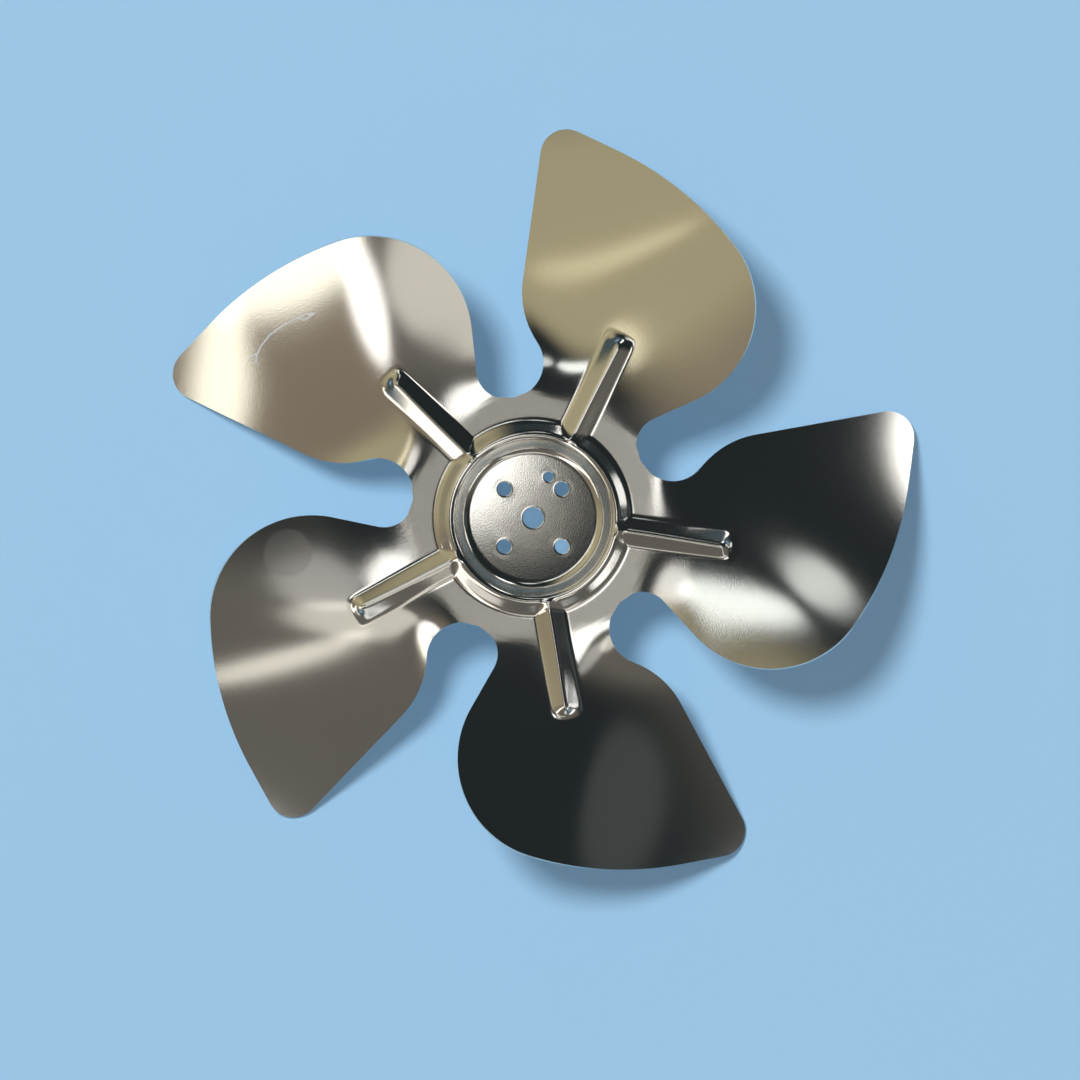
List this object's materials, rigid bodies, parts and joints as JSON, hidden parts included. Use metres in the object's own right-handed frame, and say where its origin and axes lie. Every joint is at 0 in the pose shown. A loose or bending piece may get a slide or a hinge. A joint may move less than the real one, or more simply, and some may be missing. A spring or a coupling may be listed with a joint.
{
  "type": "axial fan impeller",
  "caption": "Pressed aluminium axial fan impeller: a dished hub in a raised ring, with ribbed, twisted, broad-tipped blades for a small refrigeration fan motor.",
  "frame": {"origin": "on the axis of the central bore, at the underside of the hub's cup floor", "axes": "+Z along the fan's axis, away from the motor; +X and +Y along the sides of the square of screw holes"},
  "size_m": [0.2192, 0.2186, 0.0453],
  "materials": {
    "sheet": "bright rolled, lightly speckled"
  },
  "bodies": {
    "root": {"impeller": "sheet"}
  },
  "joints": []
}
